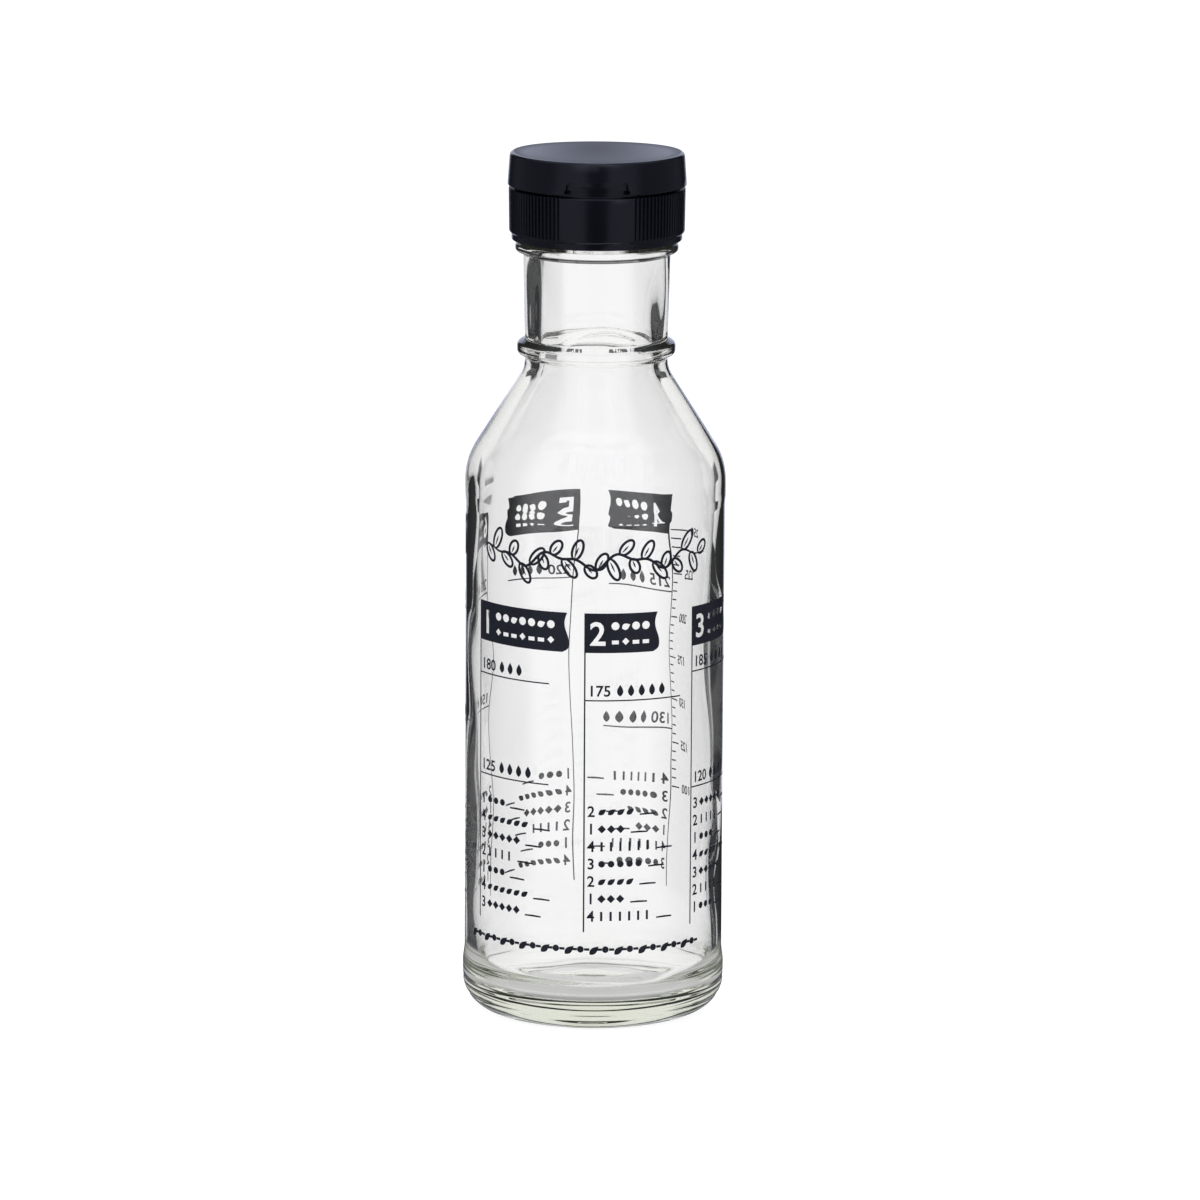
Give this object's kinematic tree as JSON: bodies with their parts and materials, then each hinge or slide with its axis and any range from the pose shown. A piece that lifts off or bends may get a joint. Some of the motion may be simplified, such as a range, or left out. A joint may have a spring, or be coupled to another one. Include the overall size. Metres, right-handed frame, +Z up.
{
  "type": "salad dressing shaker",
  "caption": "Clear glass dressing bottle with a ribbed black screw cap whose dished lid flips open over a pouring spout.",
  "frame": {"origin": "centre of the bottle's base, on the surface that it stands on", "axes": "+Z up along the bottle's axis, -Y towards the thumb notch of the lid, +Y towards the lid's hinge"},
  "size_m": [0.0614, 0.0614, 0.2032],
  "materials": {
    "clear_glass": "clear, polished, with a faint green cast in the thick base",
    "black_plastic": "satin moulded polypropylene",
    "liner_foam": "soft white foamed sealing ring"
  },
  "bodies": {
    "bottle": {"bottle": "clear_glass"},
    "liner": {"cap_liner": "liner_foam"},
    "cap": {"cap_base": "black_plastic"},
    "lid": {"flip_lid": "black_plastic"}
  },
  "joints": [
    {"name": "cap_lift", "type": "slide", "parent": "bottle", "child": "liner", "axis": [0, 0, 1], "range_m": [0, 0.0107]},
    {"name": "cap_turn", "type": "hinge", "parent": "liner", "child": "cap", "pos_m": [0, 0, 0.1829], "axis": [0, 0, 1], "range_deg": [0, 900]},
    {"name": "lid_hinge", "type": "hinge", "parent": "cap", "child": "lid", "pos_m": [0, 0.0183, 0.1971], "axis": [-1, 0, 0], "range_deg": [0, 115]}
  ],
  "couplings": [
    {"joint": "cap_lift", "follows": "cap_turn", "m_per_rad": 0.00067376}
  ]
}
